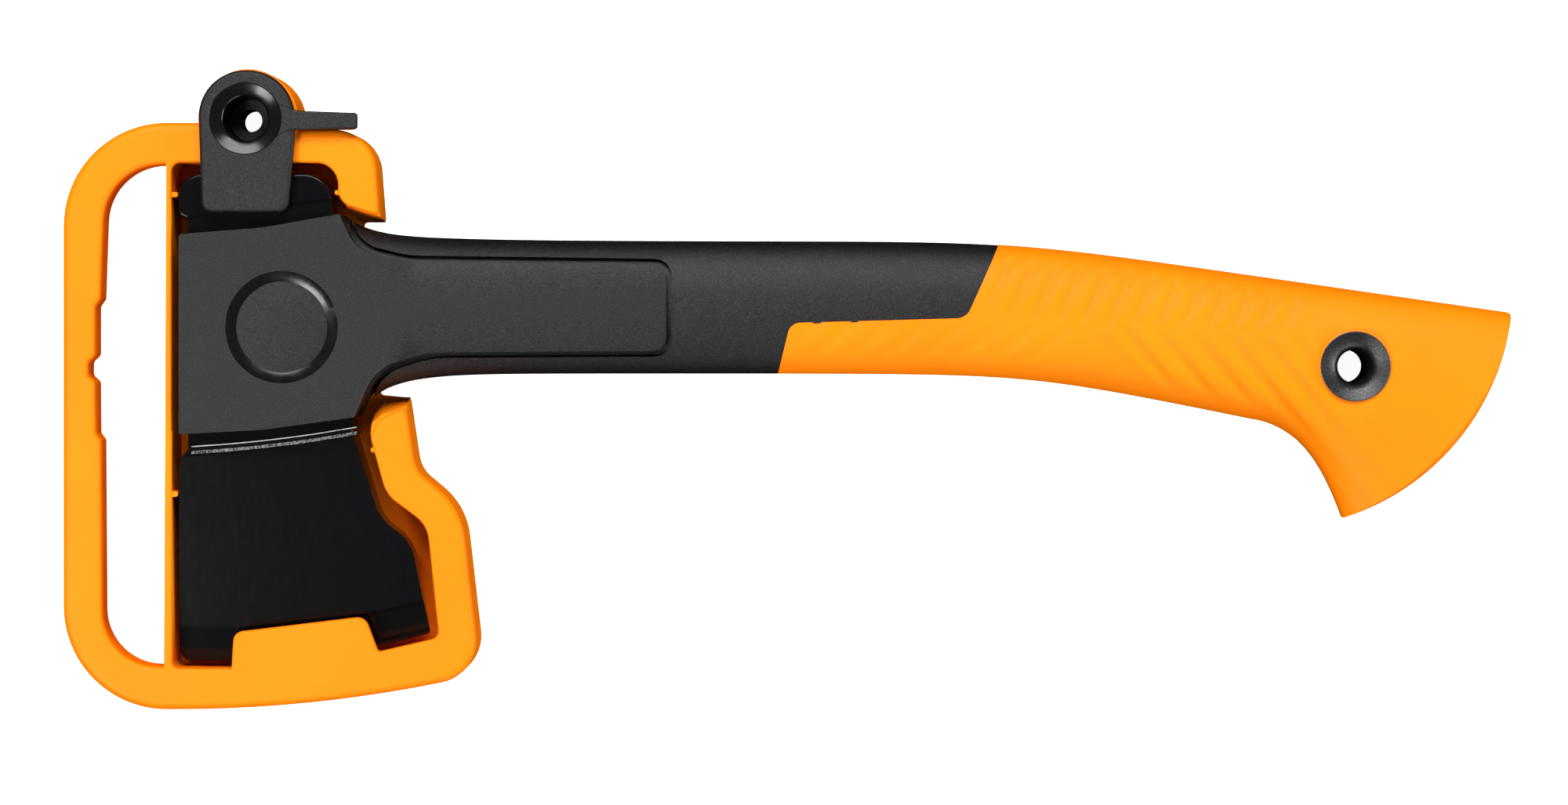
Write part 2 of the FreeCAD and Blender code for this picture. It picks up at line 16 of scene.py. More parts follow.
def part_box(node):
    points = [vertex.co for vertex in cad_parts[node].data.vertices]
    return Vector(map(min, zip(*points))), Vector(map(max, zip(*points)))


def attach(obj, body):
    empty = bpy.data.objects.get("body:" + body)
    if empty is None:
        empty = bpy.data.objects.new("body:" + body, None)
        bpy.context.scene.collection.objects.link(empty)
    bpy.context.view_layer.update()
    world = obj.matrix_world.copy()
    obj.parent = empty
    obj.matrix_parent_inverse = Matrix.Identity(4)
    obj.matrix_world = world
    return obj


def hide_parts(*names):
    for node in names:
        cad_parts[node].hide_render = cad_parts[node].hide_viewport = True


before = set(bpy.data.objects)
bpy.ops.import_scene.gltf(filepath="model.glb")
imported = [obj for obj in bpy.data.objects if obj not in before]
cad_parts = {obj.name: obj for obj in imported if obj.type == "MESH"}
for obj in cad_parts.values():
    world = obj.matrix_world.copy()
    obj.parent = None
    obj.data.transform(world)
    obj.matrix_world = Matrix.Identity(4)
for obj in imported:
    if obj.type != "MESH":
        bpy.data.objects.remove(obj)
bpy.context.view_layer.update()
scene = bpy.context.scene
print("nodes:", ", ".join(sorted(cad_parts)))

# %% [markdown]
# The maker of an axe measures from the head: x runs from its outer face along the handle, y runs from
# the handle's middle towards the poll, and z is zero in the middle of the blade. All shapes below are
# written in those millimetres and moved into the frame's metres once, when a piece is finished.

# %% Measuring frame of the axe
MM = 0.001
POLL_SIDE = 24.84
core_low, core_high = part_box("handle_core")
grip_low, grip_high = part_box("soft_grip")
axe_origin = Vector((core_low.x, core_high.y - POLL_SIDE * MM, (grip_low.z + grip_high.z) / 2))
TO_FRAME = Matrix.Translation(axe_origin) @ Matrix.Scale(MM, 4)
print("axe origin in the frame, mm:", [round(v / MM, 2) for v in axe_origin])

# %% [markdown]
# ## Colours and shader nodes
# Every colour is written as a paint chart gives it, an sRGB hex value, and one function turns it into
# the linear light that shaders work in. A second function adds a shader node with its settings and
# links, so a material reads as a list of steps: a pattern, then the tone, the sheen and the fine
# relief that follow it.

# %% Colour and node helpers


def colour(hex_value):
    """sRGB hex text to linear RGBA."""
    parts = [int(hex_value[i:i + 2], 16) / 255 for i in (1, 3, 5)]
    linear = [p / 12.92 if p <= 0.04045 else ((p + 0.055) / 1.055) ** 2.4 for p in parts]
    return (*linear, 1.0)


def add(tree, kind, settings=None, inputs=None):
    """Add a shader node; inputs maps a socket's name or number to a value or to another node's socket."""
    node = tree.nodes.new("ShaderNode" + kind)
    for key, value in (settings or {}).items():
        setattr(node, key, value)
    for key, source in (inputs or {}).items():
        if isinstance(source, bpy.types.NodeSocket):
            tree.links.new(source, node.inputs[key])
        else:
            node.inputs[key].default_value = source
    return node


def new_material(name):
    """A material with its shader, and the object's own coordinates to hang patterns on."""
    material = bpy.data.materials.new(name)
    material.use_nodes = True
    tree = material.node_tree
    shader = tree.nodes["Principled BSDF"]
    place = add(tree, "TexCoord").outputs["Object"]
    return material, tree, shader, place


def grain_scale(size_mm):
    """Noise scale that gives features of about this size, for coordinates in metres."""
    return 1.0 / (size_mm * MM)


def dress(node_names, material):
    """Give nodes of the design model their one material; shape and place stay as they are."""
    for node_name in node_names:
        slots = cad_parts[node_name].data.materials
        slots.clear()
        slots.append(material)
        print(node_name, "is made of", material.name)


print("middle grey in linear light:", round(colour("#808080")[0], 3))

# %% [markdown]
# ## Orange polypropylene
# The guard is injection moulded from polypropylene coloured right through. Its mould is spark eroded,
# which leaves an even, very fine pebble: the sheen is satin and slightly broken. The real pebble is
# about 0.1 mm, too fine to show, so it is drawn 0.5 mm wide and shallow. A slow change of tone over
# 30 mm stands for the flow of the melt. A flat colour would look like paint instead.

# %% Material: orange polypropylene
MELT_FLOW_MM = 30
SHEEN_SWING = 0.06


def moulded_orange(name, light, deep, roughness, pebble_mm, pebble_depth):
    material, tree, shader, place = new_material(name)
    shader.inputs["IOR"].default_value = 1.49
    shader.inputs["Specular IOR Level"].default_value = 0.15
    flow = add(tree, "TexNoise", None, {"Vector": place, "Scale": grain_scale(MELT_FLOW_MM), "Detail": 2.0})
    tone = add(tree, "ValToRGB", None, {0: flow.outputs["Fac"]})
    for stop, position, hex_value in zip(tone.color_ramp.elements, (0.3, 0.7), (deep, light)):
        stop.position = position
        stop.color = colour(hex_value)
    tree.links.new(tone.outputs["Color"], shader.inputs["Base Color"])
    pebble = add(tree, "TexNoise", None,
                 {"Vector": place, "Scale": grain_scale(pebble_mm), "Detail": 3.0, "Roughness": 0.6})
    sheen = add(tree, "MapRange", None, {0: pebble.outputs["Fac"], 1: 0.3, 2: 0.7,
                                         3: roughness - SHEEN_SWING, 4: roughness + SHEEN_SWING})
    tree.links.new(sheen.outputs[0], shader.inputs["Roughness"])
    relief = add(tree, "Bump", None, {"Strength": 0.35, "Distance": pebble_depth * MM,
                                      "Height": pebble.outputs["Fac"]})
    tree.links.new(relief.outputs["Normal"], shader.inputs["Normal"])
    return material


guard_orange = moulded_orange("polypropylene, moulded orange", "#FF8400", "#FF7F00", 0.5, 0.5, 0.05)
dress(("guard_body", "guard_back_panel"), guard_orange)

# %% [markdown]
# ## Black glass-fibre nylon
# The handle and the latch are nylon filled with short glass fibres. The mould has a coarser erosion
# texture than the guard's, so the black looks charcoal. One noise gives the pebbles' tone, sheen and
# relief together, so they agree. The tone is partly the grain's own mottle and partly painted glint: its
# lightest pebbles stand for ones catching the lamps. The parts of the mould that were polished, such as
# the latch dish and the badge ring, come out glossy from the same plastic, so they have the same recipe with
# a wide, nearly flat pebble.

# %% Material: black nylon, textured and polished
NYLON_IOR = 1.53
SHEEN_SPREAD = 0.2


def moulded_black(name, dark, light, roughness, pebble_mm, pebble_depth):
    material, tree, shader, place = new_material(name)
    shader.inputs["IOR"].default_value = NYLON_IOR
    shader.inputs["Specular IOR Level"].default_value = 0.27
    pebble = add(tree, "TexNoise", None,
                 {"Vector": place, "Scale": grain_scale(pebble_mm), "Detail": 2.5, "Roughness": 0.7})
    # Pebble tone: the grain's own mottle, with painted glints at its light end.
    tone = add(tree, "ValToRGB", None, {0: pebble.outputs["Fac"]})
    for stop, position, hex_value in zip(tone.color_ramp.elements, (0.46, 0.76), (dark, light)):
        stop.position = position
        stop.color = colour(hex_value)
    tree.links.new(tone.outputs["Color"], shader.inputs["Base Color"])
    sheen = add(tree, "MapRange", None, {0: pebble.outputs["Fac"], 1: 0.35, 2: 0.7,
                                         3: roughness * (1 + SHEEN_SPREAD),
                                         4: roughness * (1 - SHEEN_SPREAD)})
    tree.links.new(sheen.outputs[0], shader.inputs["Roughness"])
    relief = add(tree, "Bump", None, {"Strength": 0.7, "Distance": pebble_depth * MM,
                                      "Height": pebble.outputs["Fac"]})
    tree.links.new(relief.outputs["Normal"], shader.inputs["Normal"])
    return material


textured_nylon = moulded_black("glass-fibre nylon, eroded black", "#030304", "#323234", 0.4, 0.3, 0.2)
polished_nylon = moulded_black("glass-fibre nylon, polished black", "#070708", "#09090A", 0.2, 3.0, 0.001)
dress(("latch_retainer", "latch_washer"), textured_nylon)

# %% [markdown]
# ## The bush: nylon, finely turned
# The lining of the hanging hole is black nylon too, but its countersink was turned: fine rings run
# round it, crossed by short radial scratches, so it gleams in two soft fans. Noise in straight
# coordinates would look like pebbles, so the pattern is drawn in polar ones: a Mapping node centres it
# on the hole, and the angle and the radius feed the noise.

# %% Material: turned nylon
RING_STRETCH = (22.0, 1600.0, 1.0)
bush_low, bush_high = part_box("hang_hole_bush")
bush_centre = (bush_low + bush_high) / 2


def turned_black(name):
    material, tree, shader, place = new_material(name)
    shader.inputs["IOR"].default_value = NYLON_IOR
    shader.inputs["Base Color"].default_value = colour("#0C0C0D")
    centred = add(tree, "Mapping", None, {"Vector": place, "Location": -bush_centre})
    axes = add(tree, "SeparateXYZ", None, {0: centred.outputs["Vector"]})
    angle = add(tree, "Math", {"operation": "ARCTAN2"}, {0: axes.outputs["Y"], 1: axes.outputs["X"]})
    flat = add(tree, "Mapping", None, {"Vector": centred.outputs["Vector"], "Scale": (1, 1, 0)})
    radius = add(tree, "VectorMath", {"operation": "LENGTH"}, {0: flat.outputs["Vector"]})
    polar = add(tree, "CombineXYZ", None, {0: angle.outputs[0], 1: radius.outputs["Value"]})
    rings = add(tree, "Mapping", None, {"Vector": polar.outputs[0], "Scale": RING_STRETCH})
    scratch = add(tree, "TexNoise", None,
                  {"Vector": rings.outputs["Vector"], "Scale": 1.0, "Detail": 4.0, "Roughness": 0.7})
    sheen = add(tree, "MapRange", None, {0: scratch.outputs["Fac"], 1: 0.35, 2: 0.65, 3: 0.2, 4: 0.5})
    tree.links.new(sheen.outputs[0], shader.inputs["Roughness"])
    relief = add(tree, "Bump", None, {"Strength": 0.8, "Distance": 0.1 * MM,
                                      "Height": scratch.outputs["Fac"]})
    tree.links.new(relief.outputs["Normal"], shader.inputs["Normal"])
    return material


turned_nylon = turned_black("glass-fibre nylon, finely turned")
print("bush centre in the frame, mm:", [round(v / MM, 2) for v in bush_centre])

# %% [markdown]
# ## Coated steel
# The head is forged carbon steel with a baked, dark low-friction coating. The coating is smooth and
# evenly black, with faint grinding lines from poll to edge showing through it: noise that is
# stretched along y draws them. Above the blade one narrow strip was only blasted before coating. It is
# coarse, and its grains sparkle grey, each cell of a Voronoi pattern with its own tone. A thin line
# above it is a painted highlight: light grey metal that stands for a small cove catching the lamps.

# %% Material: dark coated steel


def coated_steel(name):
    material, tree, shader, place = new_material(name)
    shader.inputs["Base Color"].default_value = colour("#070709")
    shader.inputs["Specular IOR Level"].default_value = 0.2
    stretch = add(tree, "Mapping", None, {"Vector": place, "Scale": (1.0, 0.04, 1.0)})
    grind = add(tree, "TexNoise", None,
                {"Vector": stretch.outputs["Vector"], "Scale": grain_scale(0.6), "Detail": 3.0})
    sheen = add(tree, "MapRange", None, {0: grind.outputs["Fac"], 1: 0.3, 2: 0.7, 3: 0.14, 4: 0.17})
    tree.links.new(sheen.outputs[0], shader.inputs["Roughness"])
    relief = add(tree, "Bump", None, {"Strength": 0.08, "Distance": 0.02 * MM,
                                      "Height": grind.outputs["Fac"]})
    tree.links.new(relief.outputs["Normal"], shader.inputs["Normal"])
    return material


head_coating = coated_steel("forged steel, baked dark coating")
print("head:", head_coating.name)

# %% Material: blasted steel and painted highlight line


def blasted_steel(name):
    material, tree, shader, place = new_material(name)
    shader.inputs["Roughness"].default_value = 0.4
    shader.inputs["Metallic"].default_value = 0.6
    grains = add(tree, "TexVoronoi", None, {"Vector": place, "Scale": grain_scale(0.35)})
    tone = add(tree, "ValToRGB", None, {0: grains.outputs["Color"]})
    for stop, position, hex_value in zip(tone.color_ramp.elements, (0.25, 0.95), ("#141415", "#808084")):
        stop.position = position
        stop.color = colour(hex_value)
    tree.links.new(tone.outputs["Color"], shader.inputs["Base Color"])
    relief = add(tree, "Bump", None, {"Strength": 0.8, "Distance": 0.12 * MM,
                                      "Height": grains.outputs["Distance"]})
    tree.links.new(relief.outputs["Normal"], shader.inputs["Normal"])
    return material


# Painted highlight: light grey metal on the thin line above the blasted strip stands for the gleam of a small
# cove there.
def painted_highlight_steel(name):
    material, tree, shader, place = new_material(name)
    shader.inputs["Base Color"].default_value = colour("#ABABAF")
    shader.inputs["Metallic"].default_value = 0.7
    highlight_mottle = add(tree, "TexNoise", None, {"Vector": place, "Scale": grain_scale(1.5), "Detail": 3.0})
    gloss = add(tree, "MapRange", None, {0: highlight_mottle.outputs["Fac"], 1: 0.3, 2: 0.7, 3: 0.25, 4: 0.5})
    tree.links.new(gloss.outputs[0], shader.inputs["Roughness"])
    return material


head_blasted = blasted_steel("forged steel, blasted strip")
head_painted_highlight = painted_highlight_steel("forged steel, painted highlight line")
print("strip:", head_blasted.name, "and", head_painted_highlight.name)

# %% [markdown]
# ## Mesh helpers: shapes
# Three makers serve all the modelled pieces. `slab` draws an outline from its corners, rounds each
# corner with a vertex bevel, extrudes it and bevels its rims. `skin` walks a rounded section along the
# piece, extruding ring after ring. `turned` spins a profile, as a lathe does. Only the corners that a
# shape needs are written down, and the operators make the curves.

# %% Mesh helpers: shapes
CLEAR = 20.0


def as_object(name, bm):
    """Close a bmesh into an object, still in the axe's millimetres."""
    bmesh.ops.remove_doubles(bm, verts=bm.verts, dist=0.0005)
    bmesh.ops.recalc_face_normals(bm, faces=bm.faces)
    mesh = bpy.data.meshes.new(name)
    bm.to_mesh(mesh)
    bm.free()
    piece = bpy.data.objects.new(name, mesh)
    scene.collection.objects.link(piece)
    return piece


def corner_reach(corners, i):
    """How far an arc of this corner's radius reaches along the edges that meet there."""
    here = Vector(corners[i][:2])
    before = (Vector(corners[i - 1][:2]) - here).normalized()
    after = (Vector(corners[(i + 1) % len(corners)][:2]) - here).normalized()
    return corners[i][2] / math.tan(before.angle(after) / 2)


def slab(name, corners, low=-CLEAR, high=CLEAR, rim=0.0, rim_steps=3, arc_steps=10):
    """A plate between two heights; each corner is (x, y, radius)."""
    bm = bmesh.new()
    points = [bm.verts.new((x, y, low)) for x, y, radius in corners]
    bm.faces.new(points)
    for i, point in enumerate(points):
        reach = corner_reach(corners, i)
        if reach > 0:
            bmesh.ops.bevel(bm, geom=[point], offset=reach, segments=arc_steps, profile=0.5,
                            affect="VERTICES", offset_type="OFFSET", material=-1, clamp_overlap=False)
    raised = bmesh.ops.extrude_face_region(bm, geom=list(bm.faces), use_keep_orig=True)
    lifted = [v for v in raised["geom"] if isinstance(v, bmesh.types.BMVert)]
    bmesh.ops.translate(bm, verts=lifted, vec=(0, 0, high - low))
    if rim > 0:
        rims = [e for e in bm.edges if abs(e.verts[0].co.z - e.verts[1].co.z) < 1e-6]
        bmesh.ops.bevel(bm, geom=rims, offset=rim, segments=rim_steps, profile=0.5,
                        affect="EDGES", offset_type="OFFSET", material=-1, clamp_overlap=True)
    return as_object(name, bm)


def section_matrix(top, low, half):
    """Maps the unit ring onto a section that stands across the handle."""
    centre = (Vector(top) + Vector(low)) / 2
    across = Vector(top) - centre
    along = across.cross(Vector((0, 0, 1))).normalized()
    columns = (across, Vector((0, 0, half)), along)
    return Matrix([[c[i] for c in columns] + [centre[i]] for i in range(3)] + [[0, 0, 0, 1]])


def skin(name, stations, power, sides=96):
    """Skin a run of rounded sections, each given by its top point, low point and half thickness."""
    bm = bmesh.new()
    ring = bmesh.ops.create_circle(bm, segments=sides, radius=1.0)["verts"]
    for v in ring:
        for axis in (0, 1):
            v.co[axis] = math.copysign(abs(v.co[axis]) ** (2 / power), v.co[axis])
    matrices = [section_matrix(*station) for station in stations]
    bmesh.ops.transform(bm, matrix=matrices[0], verts=ring)
    first = list(bm.edges)
    edges = first
    for before, after in zip(matrices, matrices[1:]):
        grown = bmesh.ops.extrude_edge_only(bm, edges=edges)["geom"]
        verts = [g for g in grown if isinstance(g, bmesh.types.BMVert)]
        fresh = set(verts)
        edges = [g for g in grown if isinstance(g, bmesh.types.BMEdge) and fresh.issuperset(g.verts)]
        bmesh.ops.transform(bm, matrix=after @ before.inverted(), verts=verts)
    bmesh.ops.contextual_create(bm, geom=first)
    bmesh.ops.contextual_create(bm, geom=edges)
    return as_object(name, bm)


def turned(name, profile, centre, steps=96):
    """Spin a closed profile of (radius, height) corners about a line parallel to z."""
    bm = bmesh.new()
    points = [bm.verts.new((centre[0] + r, centre[1], z)) for r, z in profile]
    edges = [bm.edges.new((a, b)) for a, b in zip(points, points[1:] + points[:1])]
    bmesh.ops.spin(bm, geom=points + edges, cent=(centre[0], centre[1], 0), axis=(0, 0, 1),
                   angle=math.tau, steps=steps, use_merge=True)
    return as_object(name, bm)


def mirrored(profile):
    """The same profile on the other side of z = 0, walked back."""
    return [(r, -z) for r, z in reversed(profile)]


print("a slab reaches from", -CLEAR, "to", CLEAR, "mm where no heights are given")

# %% [markdown]
# ## Mesh helpers: joining and finishing
# `combine` is a Boolean that is applied at once, as when one block of clay is pressed on or cut from
# another, and `soften` rounds sharp edges. Both make a modifier and bake it into the mesh, so the next
# step works on real faces. `complete` moves a finished piece into the frame and lets it ride on its
# body. Weighted normals keep its flat faces flat beside small bevels.

# %% Mesh helpers: joining and finishing


def bake_modifiers(piece):
    """Turn what a piece's modifiers show into its own mesh."""
    bpy.context.view_layer.update()
    seen = piece.evaluated_get(bpy.context.evaluated_depsgraph_get())
    mesh = bpy.data.meshes.new_from_object(seen)
    piece.modifiers.clear()
    piece.data = mesh


def combine(target, tool, how="DIFFERENCE"):
    """Apply a Boolean at once and throw the tool away."""
    modifier = target.modifiers.new(how, "BOOLEAN")
    modifier.operation = how
    modifier.solver = "EXACT"
    modifier.object = tool
    bake_modifiers(target)
    bpy.data.objects.remove(tool)


def soften(piece, width, degrees):
    """Round every edge sharper than this angle."""
    modifier = piece.modifiers.new("rim", "BEVEL")
    modifier.width = width
    modifier.segments = 3
    modifier.limit_method = "ANGLE"
    modifier.angle_limit = math.radians(degrees)
    bake_modifiers(piece)


def complete(piece, body, node, materials, sharp_degrees):
    """Move a finished piece into the frame, shade it and let it ride on its body."""
    piece.data.transform(TO_FRAME)
    while len(piece.data.materials) < len(materials):
        piece.data.materials.append(None)
    for slot, material in enumerate(materials):
        piece.data.materials[slot] = material
    piece.data.shade_smooth()
    piece.data.set_sharp_from_angle(angle=math.radians(sharp_degrees))
    weighted = piece.modifiers.new("flat_faces_stay_flat", "WEIGHTED_NORMAL")
    weighted.keep_sharp = True
    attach(piece, body)
    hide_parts(node)
    print(piece.name, "faces:", len(piece.data.polygons))


def polish(piece, centre, is_polished):
    """Give the second material to the faces that a test of radius, height and slope picks."""
    picked = 0
    for face in piece.data.polygons:
        spot = (face.center - axe_origin) / MM
        radius = math.hypot(spot.x - centre[0], spot.y - centre[1])
        if is_polished(radius, abs(spot.z), face.normal.z):
            face.material_index = 1
            picked += 1
    print(piece.name, "polished faces:", picked)


print("one millimetre in the frame:", TO_FRAME.to_scale().x)

# %% [markdown]
# ## The handle's two long lines
# Seen from the front the handle is straight beside the head and then bends down towards the butt.
# Splines through points could follow it, but a formula says more: a soft corner, flat before it and
# sloping after it, gives each long edge its gentle bend, and a fading flare widens it at the head.
# Both the black core and the orange grip are skinned between the same two lines.

# %% Lines of the handle
HALF_WIDTH = 17.75
OVAL = 2.3
TOP_ROOT = 43.0
LOW_ROOT = 47.4
TOP_SLOPE = 0.1445
LOW_SLOPE = 0.205
TOP_BEND = 222.0
LOW_BEND = 227.5


def soft_corner(distance, width):
    """Zero before the corner, the distance itself after it, with a smooth change between."""
    return width * math.log1p(math.exp(distance / width))


def top_line(x):
    """Height of the poll-side edge; its flare starts at the block round the head."""
    x = max(x, TOP_ROOT)
    flare = 4.8 * math.exp(-(x - TOP_ROOT) / 6) + 2.2 * math.exp(-(x - TOP_ROOT) / 28)
    return HALF_WIDTH + flare - TOP_SLOPE * soft_corner(x - TOP_BEND, 13)


def low_line(x):
    """Height of the edge-side edge."""
    x = max(x, LOW_ROOT)
    flare = 3.4 * math.exp(-(x - LOW_ROOT) / 2.2) + 8.0 * math.exp(-(x - LOW_ROOT) / 9.5)
    return -HALF_WIDTH - flare - LOW_SLOPE * soft_corner(x - LOW_BEND, 12)


def section(x, inset, half):
    """A station across the handle: its two edge points, moved inwards, and its half thickness."""
    return (x, top_line(x) - inset, 0), (x, low_line(x) + inset, 0), half


print("handle width at x 150 mm:", round(top_line(150) - low_line(150), 2))

# %% [markdown]
# ## The handle core
# One moulding of black nylon: a block wraps the head, and from it a raised, flat-topped label panel
# runs down the handle, which is otherwise an oval tube. The tube is skinned first. Under the grip it
# goes on as a thinner tongue, so what lies between the two is cut away with a sheath.

# %% Handle core: the oval tube
CORE_HALF = 11.4
CORE_START = 42.4
CORE_STEP = 1.98
CORE_STEPS = 91
TONGUE_INSET = 1.3
core_stations = [section(CORE_START + step * CORE_STEP, 0, CORE_HALF) for step in range(CORE_STEPS)]
for x, inset in ((223.0, 1.4), (240.0, 3.0), (270.0, 3.2), (299.0, 4.0)):
    core_stations.append(section(x, inset, CORE_HALF - inset * 0.6))
core = skin("handle_core_moulding", core_stations, OVAL)
under_grip = [
    (230.9, 44.0, 0), (209.5, -3.2, 3.8), (162.8, -4.5, 3.2), (153.6, -44.0, 0), (240.0, -44.0, 0),
    (240.0, 44.0, 0),
]
tongue_stations = [section(x, TONGUE_INSET, CORE_HALF - TONGUE_INSET) for x in range(150, 246, 5)]
sheath = slab("sheath", under_grip)
combine(sheath, skin("tongue", tongue_stations, OVAL))
combine(core, sheath)
print("tube and tongue, faces:", len(core.data.polygons))

# %% [markdown]
# The real panel stands a hair above the tube behind a shallow channel, which keeps its edge crisp.
# The channel is a slab that an inner skin limits in depth. Block and panel are one slab too, held
# under a crowned skin, so that the panel is gently domed and the block stays flat.

# %% Handle core: the channel
PANEL_REACH = 14.0
CHANNEL_INSET = 1.2
CHANNEL_DEPTH = 1.5
channel_corners = [
    (44.6, 24.6, 0), (48.4, 16.8, 9.0), (60.8, 13.8, 26.0), (131.0, 12.9, 5.0), (131.0, -13.1, 5.0),
    (66.6, -13.5, 26.0), (53.8, -17.7, 12.0), (48.8, -28.6, 0),
]
floor_stations = [((top[0], top[1] - CHANNEL_INSET, 0), (low[0], low[1] + CHANNEL_INSET, 0),
                   half - CHANNEL_DEPTH) for top, low, half in core_stations]
channel = slab("channel", channel_corners, -PANEL_REACH, PANEL_REACH)
combine(channel, skin("channel_floor", floor_stations, OVAL))
combine(core, channel)
print("with the channel, faces:", len(core.data.polygons))

# %% Handle core: block and panel
PANEL_TOP = 11.5
CROWN_POWER = 3.0
panel_corners = [
    (0.0, 19.4, 0.6), (22.0, 21.1, 60.0), (42.6, 24.75, 0.5), (46.9, 15.4, 9.0), (60.0, 12.2, 26.0),
    (129.4, 11.4, 3.6), (129.4, -11.6, 3.6), (66.0, -12.0, 26.0), (52.2, -16.2, 12.0),
    (46.6, -29.2, 0.5), (22.0, -32.6, 60.0), (0.0, -33.7, 0.6),
]


def crown_reach(x):
    """How far the panel's crown would reach across: flat over the block, gently domed beyond it."""
    along = min(max((x - 44.0) / 19.0, 0.0), 1.0)
    return 18.5 + 280.0 * (1 - along) ** 2


crown_stations = [((x, crown_reach(x), 0), (x, -crown_reach(x), 0), PANEL_TOP)
                  for x in range(-2, 136, 2)]
panel = slab("panel", panel_corners, -PANEL_REACH, PANEL_REACH)
combine(panel, skin("crown", crown_stations, CROWN_POWER, sides=144), "INTERSECT")
soften(panel, 0.5, 50)
combine(core, panel, "UNION")
print("with block and panel, faces:", len(core.data.polygons))

# %% [markdown]
# The head's waist passes through the block, so its seat is cut as a slab. A round badge lies in both
# faces: a polished cone leads down to a slightly dished, textured disc, and it carries no mark. Such a
# round recess is quickest as a turned tool that is taken away.

# %% Handle core: seat for the head, and the badges
SEAT_HALF = 7.2
BADGE = (27.3, -5.3)
seat_corners = [
    (2.0, 30.0, 0), (2.0, -40.0, 0), (46.0, -40.0, 0), (45.0, -26.0, 6.0), (34.0, -14.0, 6.0),
    (34.0, 10.0, 3.0), (39.7, 18.0, 0), (40.3, 24.0, 0), (40.3, 30.0, 0),
]
badge_profile = [
    (0, 11.25), (4, 11.2), (8, 11.02), (11.9, 10.7), (12.1, 10.63), (15.0, 11.52), (15.2, 14.0),
    (0, 14.0),
]


def in_badge_ring(radius, height, slope):
    """The cone between the disc and the block's flat face."""
    return 12.05 < radius < 15.05 and 10.6 < height < 11.49


combine(core, slab("seat", seat_corners, -SEAT_HALF, SEAT_HALF))
for side in (1, -1):
    combine(core, turned("badge", [(r, side * z) for r, z in badge_profile], BADGE))
complete(core, "axe_in_guard", "handle_core", [textured_nylon, polished_nylon], sharp_degrees=32)
polish(core, BADGE, in_badge_ring)

# %% [markdown]
# ## The soft grip
# A rubbery orange skin is moulded over the core. Its orange is nearly the guard's, a little duller, and
# it comes from the same kind of mould, so it shares the guard's recipe.

# %% Material: orange elastomer
grip_orange = moulded_orange("thermoplastic elastomer, moulded orange", "#FF8500", "#FF8000", 0.56, 0.6, 0.05)
print("grip:", grip_orange.name)

# %% [markdown]
# Its front edge steps down the handle, so the shape is first skinned whole, from the neck to well past
# the butt, and cut afterwards: a skin can't start on a stepped edge. The heel curls down on a Bezier
# curve, so each section there is turned to meet it.

# %% Soft grip: sections from the neck to the butt
GRIP_PROUD = 0.15
GRIP_START = 150.0
GRIP_STEPS = 200
HEEL_START = 286.5
HEEL_SPAN = 68.4
HEEL_CURVE = ((286.5, -29.95), (299.4, -32.4), (305.0, -42.6), (309.9, -56.0))


def smooth(value, low, high):
    """Zero below low, one above high, with a soft step between."""
    t = min(max((value - low) / (high - low), 0.0), 1.0)
    return t * t * (3 - 2 * t)


def grip_half(x):
    """Half thickness of the grip: almost flush with the core in front, fuller in the palm."""
    return CORE_HALF + GRIP_PROUD + 1.2 * smooth(x, 205, 245)


def heel(t):
    """The underside curling down into the heel, to the butt at t = 1, and straight on beyond it."""
    corners = [Vector(p) for p in HEEL_CURVE]
    bend = min(t, 1.0)
    rest = 1 - bend
    weights = (rest ** 3, 3 * bend * rest ** 2, 3 * bend * bend * rest, bend ** 3)
    curve = sum((p * w for p, w in zip(corners, weights)), Vector((0, 0)))
    return curve + (t - bend) * 3 * (corners[3] - corners[2])


grip_stations = []
for step in range(GRIP_STEPS + 1):
    x = GRIP_START + step * ((HEEL_START - GRIP_START) / GRIP_STEPS)
    grip_stations.append(section(x, -GRIP_PROUD * smooth(x, 150, 245), grip_half(x)))
for step in range(1, 141):
    t = step / 100
    x = HEEL_START + HEEL_SPAN * t
    low = heel(t)
    grip_stations.append(((x, top_line(x) + GRIP_PROUD, 0), (low.x, low.y, 0), grip_half(x)))
grip = skin("soft_grip_moulding", grip_stations, OVAL, sides=144)
print("grip sections:", len(grip_stations))

# %% [markdown]
# Low slanted ridges keep the hand from slipping. Above a dividing line they lean one way, and below it
# they meet as a chevron. A bump map would vanish at the outline, so they are real geometry: each point
# moves along its normal by a rounded wave that fades out at every border.

# %% Soft grip: slanted ridges
RIDGE_UPPER = 0.36
RIDGE_FRONT = 0.20
RIDGE_REAR = 0.36
PITCH_UPPER = 6.65
PITCH_FRONT = 9.2
PITCH_REAR = 9.0
CHEVRON_X = 241.0
CHEVRON_LEAN = 1.1


def upper_ridges(x, y, above):
    """Phase and height of the row on the poll's side."""
    phase = (x - 220.8 - 0.5 * above) / PITCH_UPPER
    reach = smooth(x, 211, 220) * (1 - smooth(x, 288, 306)) * smooth(above, 0.3, 2.5)
    return phase, reach * (smooth(top_line(x) - y, 2.0, 6.0) * RIDGE_UPPER)


def lower_ridges(x, y, above):
    """Phase and height of the chevron on the edge's side."""
    apex = x - CHEVRON_X
    if apex < CHEVRON_LEAN * above:
        phase = (x - CHEVRON_LEAN * above) / PITCH_FRONT
        height = RIDGE_FRONT
    elif apex > -CHEVRON_LEAN * above:
        phase = (x + 0.85 * above) / PITCH_REAR
        height = RIDGE_REAR
    else:
        return 0.0, 0.0
    reach = height * smooth(x, 160, 168) * (1 - 0.75 * smooth(x, 296, 312)) * smooth(-above, 0.3, 2.5)
    reach *= smooth(y - low_line(x), 1.5, 9.0) if x < 290 else 1 - smooth(x + 0.6 * y, 322, 330)
    return phase, reach * smooth(abs(apex) - abs(CHEVRON_LEAN * above), 0.0, 3.0)


